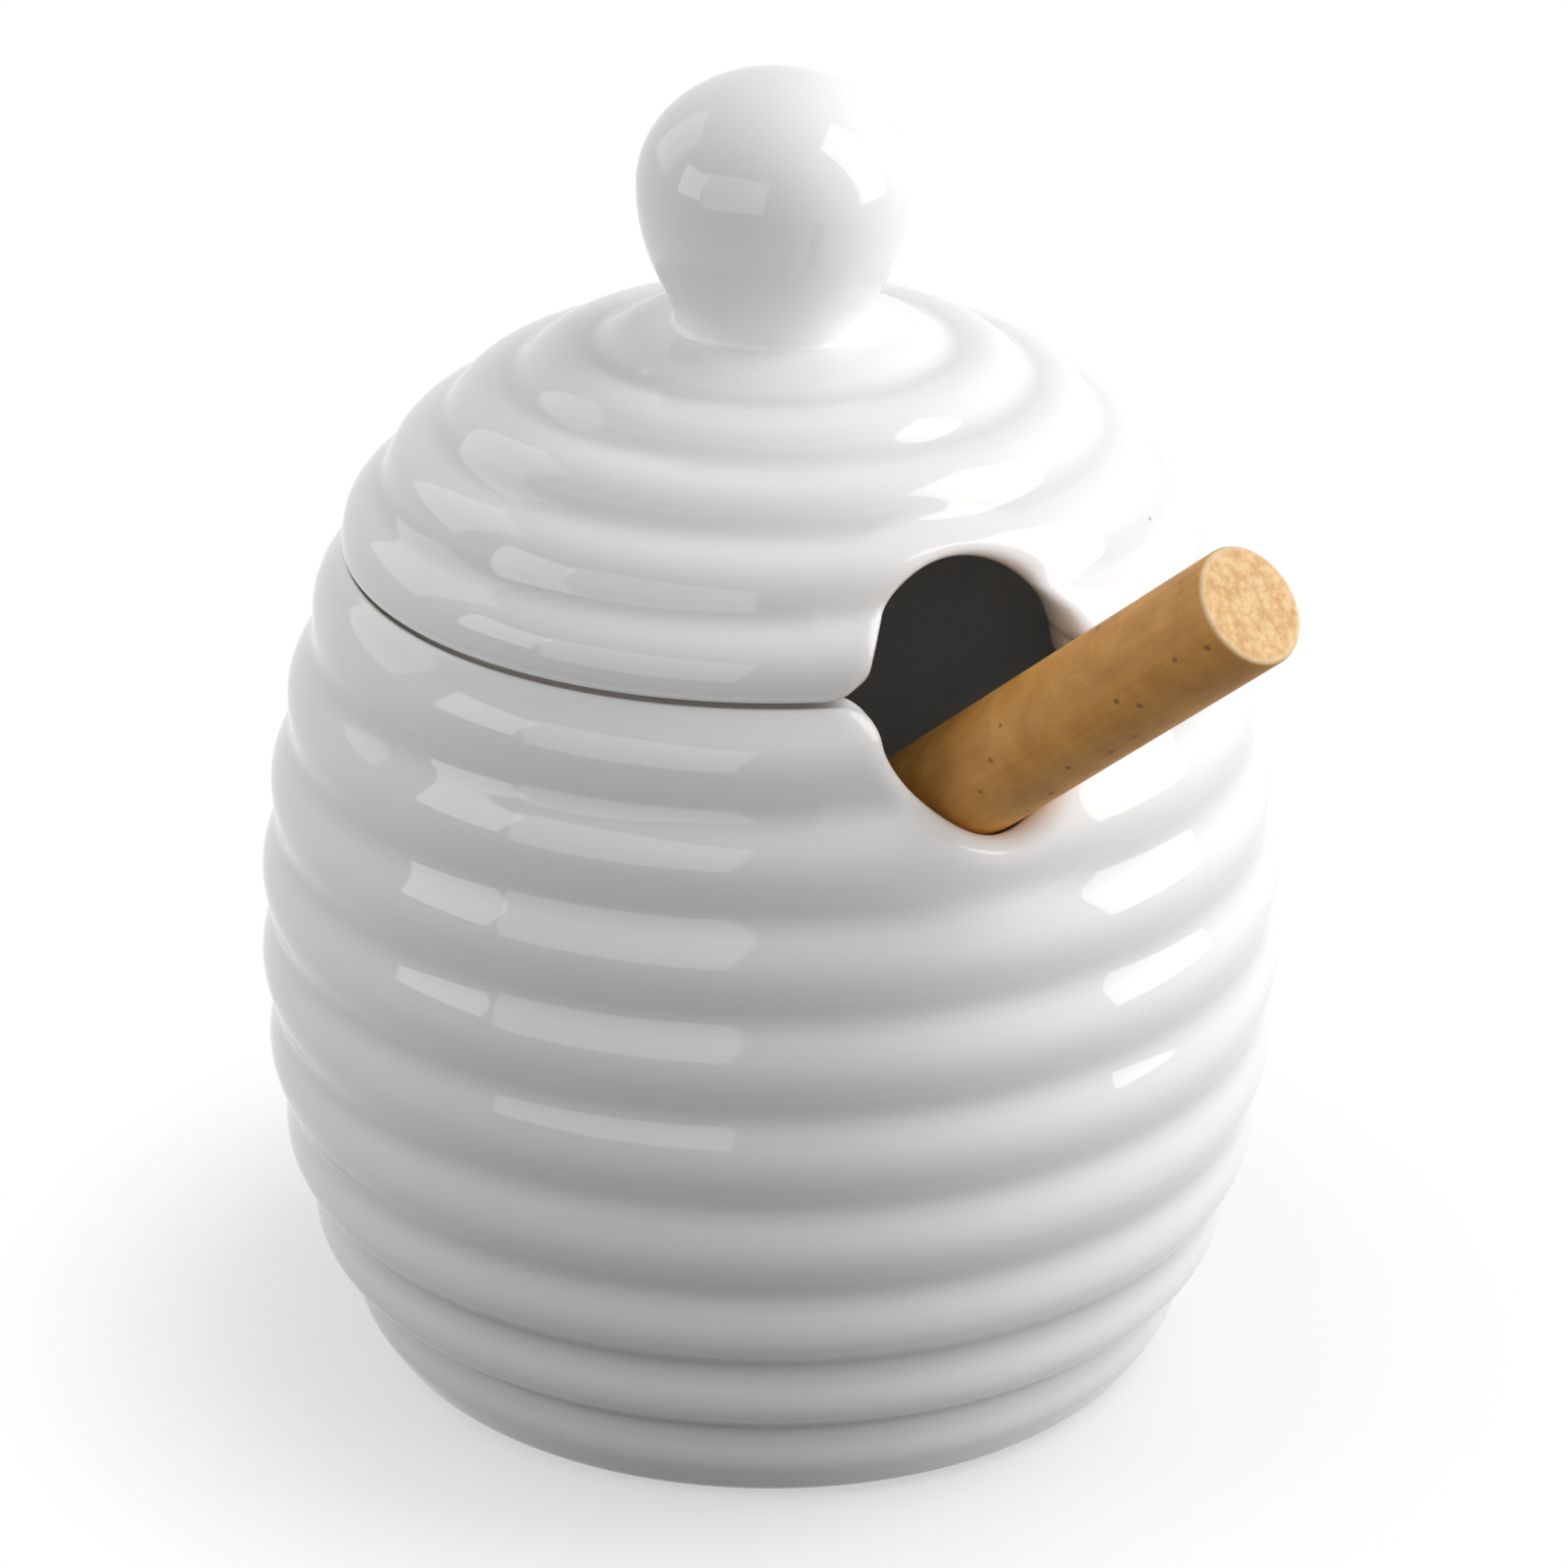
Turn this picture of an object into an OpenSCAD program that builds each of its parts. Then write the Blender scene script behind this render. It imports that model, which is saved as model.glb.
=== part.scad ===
// A beehive-shaped honey pot with a ribbed lid and a wooden dipper that leans out of a round opening.
// The frame: origin at the middle of the foot on the table, +Z up, the opening towards -Y.

/* [Pot] */
// Widest diameter, over the ribs
belly_d = 102; // [90:1:116]
// Height of the widest place above the table
belly_z = 44; // [38:1:50]
// Height of the flat rim on which the lid rests
seam_z = 85; // [76:1:96]
// Diameter of the foot at the table
foot_d = 78.6; // [68:0.2:84]
// Diameter of the rim, over the ribs
rim_d = 85.6; // [80:0.2:88]
// How square the wall's lower half is: 2 is an ellipse
low_bulge = 2.4; // [2:0.1:2.8]
// How square the wall's upper half is: 2 is an ellipse
high_bulge = 1.9; // [1.7:0.1:2.4]
// Number of ribs on the pot
pot_ribs = 9; // [7:1:11]
// Depth of the grooves between the pot's ribs
pot_rib_depth = 1.05; // [0.6:0.05:1.3]
// Thickness of the pot's wall
pot_wall_t = 4.2; // [3.6:0.1:5]
// Height of the floor inside
floor_t = 6; // [5:0.5:9]
// Radius of the corner between the floor and the wall
floor_round = 8; // [4:0.5:10]
// Width of the ring that stands on the table
foot_ring_w = 5; // [4:0.5:8]
// Depth of the recess inside that ring
foot_recess = 1.5; // [1:0.1:2]

/* [Lid] */
// Height of the lid's dome above the rim
lid_h = 22.6; // [19:0.2:26]
// How square the dome is at its edge
lid_bulge = 2.6; // [2.2:0.1:3]
// How pointed the dome is: 2 is an ellipse
lid_point = 1.3; // [1.2:0.05:1.6]
// Number of ribs from the lid's edge to the knob
lid_ribs = 5; // [4:1:6]
// Depth of the grooves between the lid's ribs
lid_rib_depth = 0.8; // [0.5:0.05:1]
// Thickness of the dome
lid_wall_t = 4.2; // [3.6:0.1:5]
// How far the locating flange reaches into the pot
flange_h = 6; // [4:0.5:8]
// Thickness of the flange
flange_t = 3.2; // [2.6:0.1:4]
// Room between the flange and the pot's mouth
flange_gap = 0.6; // [0.3:0.1:1]
// Width of the softened edges on both sides of the seam
seam_bevel = 0.6; // [0.3:0.1:0.8]

/* [Knob] */
// Diameter of the knob
knob_d = 26.2; // [22:0.2:30]
// Height of the knob's widest place above the lid's crown
knob_mid = 13.6; // [12:0.2:15]
// Height of the knob's rounded top above its widest place
knob_top = 11; // [9:0.2:13]
// Depth to which the knob's lower half would close without its foot
knob_low = 15.8; // [15.2:0.2:18]
// Diameter of the knob's foot, where it is joined to the lid
knob_foot_d = 18.4; // [14:0.2:20]

/* [Opening] */
// Width of the opening that the lid and the rim share
hole_d = 21.2; // [19:0.2:23]
// How far the opening rises into the lid
hole_rise = 9.8; // [8:0.2:12]
// How far the opening drops into the rim
sill_drop = 13.9; // [12.5:0.1:15]
// Radius of the opening's corners at the seam
hole_corner = 3.6; // [2:0.1:4.5]

/* [Dipper] */
// Diameter of the handle
handle_d = 11.4; // [9:0.1:12]
// Slope of the dipper above the level
dipper_tilt = 39.8; // [38:0.2:42]
// How far the dipper is turned aside from the opening's middle
dipper_turn = 19; // [10:1:20]
// How far the dipper lies to the right of the opening's middle
dipper_side = 1.8; // [0:0.2:2.4]
// Room between the handle and the eased sill
sill_gap = 0.6; // [0.4:0.1:1.5]
// Length of the dipper outside the sill
dipper_out = 39.5; // [30:0.5:60]
// Room between the dipper's head and the pot's wall and floor
tip_gap = 1.2; // [0.6:0.1:6]
// Width of the bevel round the handle's end
handle_bevel = 0.5; // [0.2:0.1:1]
// Length of the grooved head
head_l = 36; // [30:1:40]
// Widest diameter of the head
head_d = 24; // [20:0.5:25]
// Diameter of the head's two ends
head_end_d = 15; // [13:0.5:17]
// Number of discs on the head
head_discs = 6; // [5:1:7]
// Share of each disc's pitch that is wood
disc_share = 0.55; // [0.45:0.05:0.65]
// Diameter of the head's core at the bottom of the grooves
core_d = 12.5; // [11.5:0.1:13]
// Diameter of the handle's tenon
tenon_d = 7; // [6:0.1:8]
// Length of the tenon
tenon_l = 14; // [10:1:18]
// Room for glue round the tenon and below it
glue_gap = 0.1; // [0.05:0.05:0.2]

/* [Hidden] */
$fn = 96;

porcelain = "#f4f4f2";
beech = "#c89a62";
beech_head = "#c2935a";

// A little more than any cut needs
past = 1;
// Points along each wall line and straight steps along each inner line
wall_steps = 80;
inner_steps = 20;
slope_step = 0.002;

belly_r = belly_d / 2;
foot_r = foot_d / 2;
rim_r = rim_d / 2;
hole_r = hole_d / 2;
handle_r = handle_d / 2;
mouth_r = rim_r - pot_wall_t;
flange_r = mouth_r - flange_gap;
flange_in_r = flange_r - flange_t;
sill_z = seam_z - sill_drop;
knob_foot_r = knob_foot_d / 2;

// The wall's two half lines pass through the foot and the rim
low_reach = belly_z / pow(1 - pow(foot_r / belly_r, 2), 1 / low_bulge);
high_reach = (seam_z - belly_z) / pow(1 - pow(rim_r / belly_r, 2), 1 / high_bulge);

function pot_r(z) = z < belly_z
    ? belly_r * sqrt(1 - pow((belly_z - z) / low_reach, low_bulge))
    : belly_r * sqrt(1 - pow((z - belly_z) / high_reach, high_bulge));

// The lines over the ribs, from u = 0 to u = 1: the pot's from the foot to the rim,
// and the lid's from its edge to the knob's foot
crown_angle = acos(pow(knob_foot_r / rim_r, lid_bulge / 2));
pot_line = function (u) [pot_r(u * seam_z), u * seam_z];
lid_line = function (u) dome_point(rim_r, lid_h, u * crown_angle);
function dome_point(r, h, a) = [r * pow(cos(a), 2 / lid_bulge), seam_z + h * pow(sin(a), 2 / lid_point)];

crown_z = lid_line(1).y;

// Pairs of the length along a line and the u reached there
function run_of(line) = [
    for (i = 0, s = 0; i <= wall_steps;
         s = s + norm(line((i + 1) / wall_steps) - line(i / wall_steps)), i = i + 1)
        [s, i / wall_steps]
];

// The outward direction of a line at u
function outward(line, u) = let (
    u0 = max(u - slope_step, 0),
    u1 = min(u + slope_step, 1),
    t = line(u1) - line(u0)
) [t.y, -t.x] / norm(t);

// Round ribs of equal width along a line. Each is an arc that touches the line at its crest.
module ribs(line, run, count, depth) {
    pitch = run[wall_steps].x / count;
    rib_r = (pitch * pitch / 4 + depth * depth) / (2 * depth);
    for (i = [0 : count - 1]) {
        u = lookup((i + 0.5) * pitch, run);
        translate(line(u) - rib_r * outward(line, u)) circle(r = rib_r);
    }
}

// The solid behind the ribs, out to the bottom of the grooves
module behind_ribs(line, depth, low, high) {
    polygon([
        [0, low],
        [line(0).x - 2 * depth, low],
        for (i = [1 : inner_steps - 1]) line(i / inner_steps) - 2 * depth * outward(line, i / inner_steps),
        [line(1).x - 2 * depth, high],
        [0, high]
    ]);
}

// A half section of a ribbed shape between two heights
module ribbed(line, count, depth, low, high) {
    run = run_of(line);
    intersection() {
        union() {
            ribs(line, run, count, depth);
            behind_ribs(line, depth, low, high);
        }
        translate([0, low]) square([belly_d, high - low]);
    }
}

// A slanting cut along the outer edge at the seam, above or below it
module seam_edge(side) {
    edge_r = rim_r - pot_rib_depth;
    polygon([
        [edge_r - seam_bevel, seam_z],
        [edge_r + belly_r, seam_z],
        [edge_r + belly_r, seam_z - side * (2 * seam_bevel + belly_r)],
        [edge_r + seam_bevel, seam_z - side * 2 * seam_bevel]
    ]);
}

// The inside line of the pot, with a round corner at the floor
function inside_r(z) = let (short = max(floor_t + floor_round - z, 0))
    pot_r(z) - pot_wall_t - floor_round + sqrt(floor_round * floor_round - short * short);

module pot_inside() {
    polygon([
        [0, floor_t],
        for (i = [0 : inner_steps]) let (z = floor_t + pow(i / inner_steps, 1.6) * (seam_z - floor_t)) [inside_r(z), z],
        [mouth_r, seam_z + past],
        [0, seam_z + past]
    ]);
}

// The inside of the lid: the flange's bore, then the dome's inner line
module lid_inside() {
    polygon([
        [0, seam_z - flange_h - past],
        [flange_in_r, seam_z - flange_h - past],
        for (i = [0 : inner_steps])
            let (p = dome_point(rim_r - lid_wall_t, lid_h - lid_wall_t, 90 * i / inner_steps))
                [min(p.x, flange_in_r), p.y]
    ]);
}

// The opening seen from the front: a slot with round ends and round corners at the seam
module hole_outline() {
    low = sill_z + hole_r;
    high = seam_z + hole_rise - hole_r;
    translate([0, low]) circle(r = hole_r);
    translate([0, high]) circle(r = hole_r);
    if (high > low) translate([-hole_r, low]) square([hole_d, high - low]);
    for (side = [-1, 1]) {
        translate([0, seam_z]) scale([side, 1]) hole_flare(high - seam_z);
        translate([0, seam_z]) scale([side, -1]) hole_flare(seam_z - low);
    }
}

// One corner at the seam: its arc touches the seam and the opening's side. The round end's middle
// lies at this height past the seam.
module hole_flare(end_z) {
    side_z = min(end_z, hole_corner);
    reach = hole_r + hole_corner;
    corner_x = sqrt(reach * reach - pow(hole_corner - side_z, 2));
    touch = [0, side_z] + [corner_x, hole_corner - side_z] * hole_r / reach;
    difference() {
        polygon([[0, 0], [corner_x, 0], [corner_x, hole_corner], touch]);
        translate([corner_x, hole_corner]) circle(r = hole_corner);
    }
}

// The cut through the front wall
module hole_cut() {
    rotate([90, 0, 0]) linear_extrude(belly_d) hole_outline();
}

// The dipper lies at its own slope on the middle of the sill's thickness
sill_y = -(pot_r(sill_z) - pot_wall_t / 2);

module along_dipper() {
    translate([0, sill_y, sill_z]) rotate([0, 90 - dipper_tilt, dipper_turn - 90])
        translate([-handle_r - sill_gap, dipper_side, 0]) children();
}

// The same place and slope as vectors: along the dipper, up across it, and sideways across it
dipper_dir = [
    cos(dipper_tilt) * sin(dipper_turn),
    -cos(dipper_tilt) * cos(dipper_turn),
    sin(dipper_tilt)
];
dipper_up = [
    -sin(dipper_tilt) * sin(dipper_turn),
    sin(dipper_tilt) * cos(dipper_turn),
    cos(dipper_tilt)
];
dipper_across = [cos(dipper_turn), sin(dipper_turn), 0];
dipper_at = [0, sill_y, sill_z] + (handle_r + sill_gap) * dipper_up + dipper_side * dipper_across;

// Least room round a ring of the head: its depth along the dipper and its radius are given
function ring_room(depth, r) = min([
    for (a = [0 : 15 : 345])
        let (p = dipper_at - depth * dipper_dir + r * (cos(a) * dipper_up + sin(a) * dipper_across))
            min(inside_r(max(p.z, floor_t)) - norm([p.x, p.y]), p.z - floor_t)
]);

// The dipper reaches in until its head has only tip_gap left at its tip or at its widest place
depth_step = 0.25;
dipper_in = max([
    for (depth = [head_l : depth_step : 2 * belly_d])
        if (min(ring_room(depth, head_end_d / 2), ring_room(depth - head_l / 2, head_d / 2)) >= tip_gap) depth
]);

// The inner half of the sill is eased to the dipper's slope, as a saddle wider than the handle
module sill_easing() {
    saddle_r = (handle_r + hole_r) / 2;
    translate([0, sill_y, sill_z]) rotate([0, 90 - dipper_tilt, -90])
        translate([-saddle_r, 0, -belly_r]) cylinder(r = saddle_r, h = belly_d);
}

module pot_body() {
    color(porcelain) difference() {
        rotate_extrude() difference() {
            ribbed(pot_line, pot_ribs, pot_rib_depth, 0, seam_z);
            seam_edge(1);
            pot_inside();
            square([foot_r - pot_rib_depth - foot_ring_w, foot_recess]);
        }
        hole_cut();
        sill_easing();
    }
}

module lid_dome() {
    color(porcelain) difference() {
        rotate_extrude() difference() {
            union() {
                ribbed(lid_line, lid_ribs, lid_rib_depth, seam_z, crown_z);
                translate([0, seam_z - flange_h]) square([flange_r, flange_h]);
            }
            lid_inside();
            seam_edge(-1);
        }
        hole_cut();
    }
}

// The knob's side line by angle: an ellipse above its widest place, and a longer one below
// that runs into the straight foot
knob_foot_angle = -asin(knob_mid / knob_low);

function knob_point(a) = a > 0
    ? [knob_d / 2 * cos(a), crown_z + knob_mid + knob_top * sin(a)]
    : [max(knob_d / 2 * cos(a), knob_foot_r), crown_z + knob_mid + knob_low * sin(a)];

module lid_knob() {
    steps = 32;
    color(porcelain) rotate_extrude() polygon([
        [0, crown_z],
        for (i = [0 : steps - 1]) knob_point(knob_foot_angle + (90 - knob_foot_angle) * i / steps),
        [0, crown_z + knob_mid + knob_top]
    ]);
}

module dipper_handle() {
    shoulder = head_l - dipper_in;
    color(beech) along_dipper() rotate_extrude() polygon([
        [0, shoulder - tenon_l],
        [tenon_d / 2, shoulder - tenon_l],
        [tenon_d / 2, shoulder],
        [handle_r, shoulder],
        [handle_r, dipper_out - handle_bevel],
        [handle_r - handle_bevel, dipper_out],
        [0, dipper_out]
    ]);
}

module dipper_head() {
    sag = (head_d - head_end_d) / 2;
    barrel_r = (head_l * head_l / 4 + sag * sag) / (2 * sag);
    pitch = head_l / (head_discs - 1 + disc_share);
    color(beech_head) along_dipper() translate([0, 0, -dipper_in]) difference() {
        rotate_extrude() intersection() {
            translate([head_d / 2 - barrel_r, head_l / 2]) circle(r = barrel_r);
            union() {
                square([core_d / 2, head_l]);
                for (i = [0 : head_discs - 1]) translate([0, i * pitch]) square([head_d, disc_share * pitch]);
            }
        }
        translate([0, 0, head_l - tenon_l - glue_gap]) cylinder(d = tenon_d + 2 * glue_gap, h = tenon_l + past);
    }
}

pot_body();
lid_dome();
lid_knob();
dipper_handle();
dipper_head();
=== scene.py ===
import math

import bpy
import numpy as np
from mathutils import Matrix, Vector


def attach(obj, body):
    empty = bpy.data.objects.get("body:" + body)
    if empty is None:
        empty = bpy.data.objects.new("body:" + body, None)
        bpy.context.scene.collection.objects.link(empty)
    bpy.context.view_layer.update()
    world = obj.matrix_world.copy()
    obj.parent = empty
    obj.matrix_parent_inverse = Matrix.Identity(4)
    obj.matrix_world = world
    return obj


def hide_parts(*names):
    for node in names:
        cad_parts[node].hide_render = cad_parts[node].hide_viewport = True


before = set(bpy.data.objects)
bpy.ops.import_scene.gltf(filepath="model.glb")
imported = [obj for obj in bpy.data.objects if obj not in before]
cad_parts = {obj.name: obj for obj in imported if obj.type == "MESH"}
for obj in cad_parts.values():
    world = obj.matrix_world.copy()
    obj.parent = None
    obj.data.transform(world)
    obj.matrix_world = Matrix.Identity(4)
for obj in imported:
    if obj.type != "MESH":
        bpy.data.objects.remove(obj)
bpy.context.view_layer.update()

# Sizes in millimetres, as in the part's source. Angles are measured round the pot's axis from the
# opening (-Y) towards +X.
MM = 0.001
BELLY_R, BELLY_Z = 51.0, 44.0
FOOT_R, RIM_R, SEAM_Z = 39.3, 42.8, 85.0
LOW_BULGE, HIGH_BULGE = 2.4, 1.9
POT_RIBS, POT_RIB_DEPTH, POT_WALL = 9, 1.05, 4.2
FLOOR_Z, FLOOR_ROUND = 6.0, 8.0
FOOT_RING, FOOT_RECESS, FOOT_ROUND = 5.0, 1.5, 4.0
LID_H, LID_BULGE, LID_POINT = 22.6, 2.6, 1.3
LID_RIBS, LID_RIB_DEPTH, LID_WALL = 5, 0.85, 4.2
FLANGE_H, FLANGE_T, FLANGE_GAP = 6.0, 3.2, 0.6
KNOB_R, KNOB_MID, KNOB_TOP, KNOB_LOW, KNOB_FOOT_R = 13.1, 13.6, 11.0, 15.8, 9.2
KNOB_FILLET, KNOB_BLEND = 0.6, 1.4
HOLE_R, HOLE_RISE, SILL_DROP, HOLE_CORNER = 10.6, 9.8, 13.9, 3.6
HANDLE_R, HANDLE_BEVEL = 5.7, 0.5
DIPPER_TILT, DIPPER_TURN = math.radians(39.8), math.radians(19)
DIPPER_SIDE, SILL_GAP, DIPPER_OUT, DIPPER_IN = 1.8, 0.6, 39.3, 96.25
HEAD_L, HEAD_R, HEAD_END_R, HEAD_CORE_R = 36.0, 12.0, 7.5, 6.25
HEAD_DISCS, DISC_SHARE = 6, 0.55
TENON_R, TENON_L, GLUE_GAP = 3.5, 14.0, 0.1

# Edges that the glaze rounds off: how far the opening's lips run out over the wall's two faces, where
# across the wall they are highest, and the pot's and lid's edges along the seam
LIP_OUT, LIP_IN, LIP_TOP = 3.4, 1.8, 0.55
RIM_ROUND, LID_ROUND = 1.4, 0.5
# The lid rests on the inner half of the rim. The outer half stands lower by a narrow slot, and is hollow
# behind its edge
SEAM_SLOT, SEAM_HOLLOW = 0.45, 1.0
# The columns of points that end on the opening's edge spread over this angle each way on the plain wall
FAN_ANGLE = math.radians(32)
# The rim's notch narrows by this share towards its lowest point, so that it cradles the handle
NOTCH_NARROW, NOTCH_REACH, NOTCH_POWER = 0.28, 9.5, 1.4
# How soft the grooves between the ribs are: 0 is a sharp crease
GROOVE_SOFT = 0.45
# The grooves near the foot are deeper: by up to this share, fading out within this share of the wall
FOOT_GROOVE, FOOT_GROOVE_END = 0.8, 0.42
# The seat's section: the power of its rounded box, and where across the wall its hollow starts and its
# set-back half ends, each from and to
SEAT_POWER, HOLLOW_START, SET_BACK_END = 0.42, (0.12, 0.2), (0.5, 0.7)
# The wall is cut straight through up to the first angle from the opening, and radially from the second
STRAIGHT_TO, RADIAL_FROM = math.radians(25), math.radians(45)
# Angle in radians up to which an inset along the opening's edge can turn a column
INSET_SIDE = 1.2
# The lip fades into the plain rim over this many corner radii
LIP_FADE = 1.3
# How far below and above the opening's lip the plain wall of level rings starts
FAN_BELOW, FAN_ABOVE = 8.0, 1.5
# Radii of the foot ring's two inner edges
RECESS_EDGE, RING_EDGE = 0.7, 0.6

# Points along half of the opening's round end, one of its corners and half of the rim, and rings in the
# fans between the plain wall and the edge, over the pot's edge and up its wall
END_POINTS, CORNER_POINTS, RIM_POINTS = 44, 16, 122
FAN_RINGS, EDGE_RINGS, WALL_RINGS = 46, 37, 112
# Rings at each end of the pot's edge that are glazed, with the bare seat between them
GLAZED_RINGS = 10

SILL_Z = SEAM_Z - SILL_DROP
MOUTH_R = RIM_R - POT_WALL
FLANGE_R = MOUTH_R - FLANGE_GAP
FLANGE_IN_R = FLANGE_R - FLANGE_T

# The camera, fitted to the photograph: degrees, metres, and the lens in millimetres
CAMERA_AZIMUTH, CAMERA_ELEVATION, CAMERA_ROLL = -28.2, 24.17, 0.25
CAMERA_DISTANCE, CAMERA_LENS, CAMERA_SHIFT = 0.55, 126.8, (0.0086, -0.0105)
# The camera and the lamps point at this height on the axis, and the lamps stand this far off, in metres
AIM_Z, LAMP_DISTANCE = 60 * MM, 0.9
AIM = Vector((0, 0, AIM_Z))
# Half the table's width and its height in metres, just below the foot
TABLE_HALF, TABLE_Z = 3, -0.0002


def smooth(a, b, x):
    """0 below a, 1 above b, and an S-shaped cubic between them."""
    t = np.clip((x - a) / (b - a), 0, 1)
    return t * t * (3 - 2 * t)


def mix(a, b, t):
    return a + (b - a) * t


def hex_rgba(code):
    """An sRGB hex colour as linear red, green, blue and alpha."""
    srgb = np.array([int(code[i:i + 2], 16) / 255 for i in (1, 3, 5)])
    linear = np.where(srgb <= 0.04045, srgb / 12.92, ((srgb + 0.055) / 1.055) ** 2.4)
    return (*linear.tolist(), 1.0)


def skin(name, rings, place=None, pool_shade_and_seat_values=None):
    """A closed shell from a grid of rings: rings[i, j] is point j of ring i, in millimetres.

    Each ring closes on itself, and a point at the middle of the first and of the last ring closes the
    ends. The rings run so that the direction round them, crossed with the direction from ring to ring,
    points out of the shell. The last argument, if given, is one number per grid point, kept on the mesh:
    how much glaze pools in the grooves with painted shade there, and 1 on the bare seat.
    """
    count, round_count = rings.shape[:2]
    points = np.vstack([rings.reshape(-1, 3), rings[0].mean(axis=0), rings[-1].mean(axis=0)])
    if place is not None:
        points = points @ place[:3, :3].T + place[:3, 3]
    j = np.arange(round_count)
    following = (j + 1) % round_count
    start = np.arange(count - 1)[:, None] * round_count
    quads = np.stack([start + j, start + following, start + following + round_count,
                      start + j + round_count], axis=-1)
    first, last = count * round_count, count * round_count + 1
    top = (count - 1) * round_count
    caps = [np.stack([np.full_like(j, first), following, j], axis=-1),
            np.stack([np.full_like(j, last), top + j, top + following], axis=-1)]
    mesh = bpy.data.meshes.new(name)
    mesh.from_pydata((points * MM).tolist(), [], quads.reshape(-1, 4).tolist() + np.vstack(caps).tolist())
    mesh.polygons.foreach_set("use_smooth", np.ones(len(mesh.polygons), dtype=bool))
    if pool_shade_and_seat_values is not None:
        values = np.concatenate([pool_shade_and_seat_values.ravel(), [0, 0]]).astype(np.float32)
        mesh.attributes.new("pool_shade_and_seat", "FLOAT", "POINT").data.foreach_set("value", values)
    mesh.update()
    piece = bpy.data.objects.new(name, mesh)
    bpy.context.scene.collection.objects.link(piece)
    return piece


def level_rings(profile, angle):
    """Level circles from (radius, height) pairs, with their points at the given angles."""
    radius, height = np.asarray(profile, float).T
    return np.stack([np.outer(radius, np.sin(angle)), -np.outer(radius, np.cos(angle)),
                     np.broadcast_to(height[:, None], (len(height), len(angle)))], axis=-1)


def turned(profile, count):
    """A profile of (radius, height) pairs turned round the Z axis, as rings of count points."""
    return level_rings(profile, np.arange(count) * 2 * np.pi / count)


def arc(centre, radius, start, end, count):
    """Points on a circle's arc between two angles in degrees."""
    a = np.radians(np.linspace(start, end, count))
    return np.stack([centre[0] + radius * np.cos(a), centre[1] + radius * np.sin(a)], axis=-1)


def ribbed_line(line, ribs, depth, deeper=0.0, plain_start=False, plain_end=False):
    """The line over the ribs pushed in along its normal between them.

    The ribs have equal widths along the line. Across a rib the push is depth times 1 minus the height
    of a half sine wave, whose foot is rounded. It grows by the share deeper near the line's start, and
    stays 0 on the outer half of a plain end's rib. Returns the points, and how much glaze pools at each
    with painted shade in the grooves, also more near the line's start.
    """
    step = np.gradient(line, axis=0)
    length = np.concatenate([[0], np.cumsum(np.linalg.norm(np.diff(line, axis=0), axis=1))])
    normal = np.stack([step[:, 1], -step[:, 0]], axis=-1) / np.linalg.norm(step, axis=1)[:, None]
    wave = np.abs(np.sin(np.pi * ribs * length / length[-1]))
    crest = (np.hypot(wave, GROOVE_SOFT) - GROOVE_SOFT) / (math.hypot(1, GROOVE_SOFT) - GROOVE_SOFT)
    share = length / length[-1]
    plain = (plain_start & (share < 0.5 / ribs)) | (plain_end & (share > 1 - 0.5 / ribs))
    groove = np.where(plain, 0, 1 - crest)
    more = deeper * (1 - smooth(0, FOOT_GROOVE_END, share))
    return line - normal * (depth * groove * (1 + more))[:, None], 0.5 * groove * (1 + 0.5 * more)


def pot_over_ribs(z):
    """The pot's radius over the ribs: two half lines, each a rounded curve with its own squareness."""
    low = BELLY_Z / (1 - (FOOT_R / BELLY_R) ** 2) ** (1 / LOW_BULGE)
    high = (SEAM_Z - BELLY_Z) / (1 - (RIM_R / BELLY_R) ** 2) ** (1 / HIGH_BULGE)
    away = np.where(z < BELLY_Z, ((BELLY_Z - np.minimum(z, BELLY_Z)) / low) ** LOW_BULGE,
                    ((np.maximum(z, BELLY_Z) - BELLY_Z) / high) ** HIGH_BULGE)
    return BELLY_R * np.sqrt(1 - away)


def dome_line(radius, height, angle):
    """A dome's side line by angle, from its edge at 0 to its top at a right angle."""
    return np.stack([radius * np.cos(angle) ** (2 / LID_BULGE),
                     SEAM_Z + height * np.sin(angle) ** (2 / LID_POINT)], axis=-1)


def opening_half(reach, way):
    """Half of the opening's edge on one side of the seam, from its far point in the middle to the rim.

    It is an arc of the opening's round end, then a corner arc that touches it and the seam. The rim's
    notch is drawn in towards its lowest point by a power of the height above it. way is -1 for the rim
    and 1 for the lid. Returns x and z, and the direction from the edge into the wall.
    """
    end_h = reach - HOLE_R
    corner_x = math.sqrt((HOLE_R + HOLE_CORNER) ** 2 - (HOLE_CORNER - end_h) ** 2)
    touch = math.atan2(HOLE_CORNER - end_h, corner_x)
    a = np.linspace(np.pi / 2, touch, END_POINTS)
    c = np.linspace(np.pi + touch, 1.5 * np.pi, CORNER_POINTS)[1:]
    x = np.concatenate([HOLE_R * np.cos(a), corner_x + HOLE_CORNER * np.cos(c)])
    h = np.concatenate([end_h + HOLE_R * np.sin(a), HOLE_CORNER + HOLE_CORNER * np.sin(c)])
    if way < 0:
        x = x * (1 - NOTCH_NARROW * np.clip(1 - (reach - h) / NOTCH_REACH, 0, 1) ** NOTCH_POWER)
    along_x, along_h = np.gradient(np.concatenate([[-x[1]], x])), np.gradient(np.concatenate([[h[1]], h]))
    into = np.stack([-along_h[1:], way * along_x[1:]], axis=-1)
    into[0], into[-1] = (0, way), (0, way)
    return x, SEAM_Z + way * h, into / np.linalg.norm(into, axis=1)[:, None]


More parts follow.
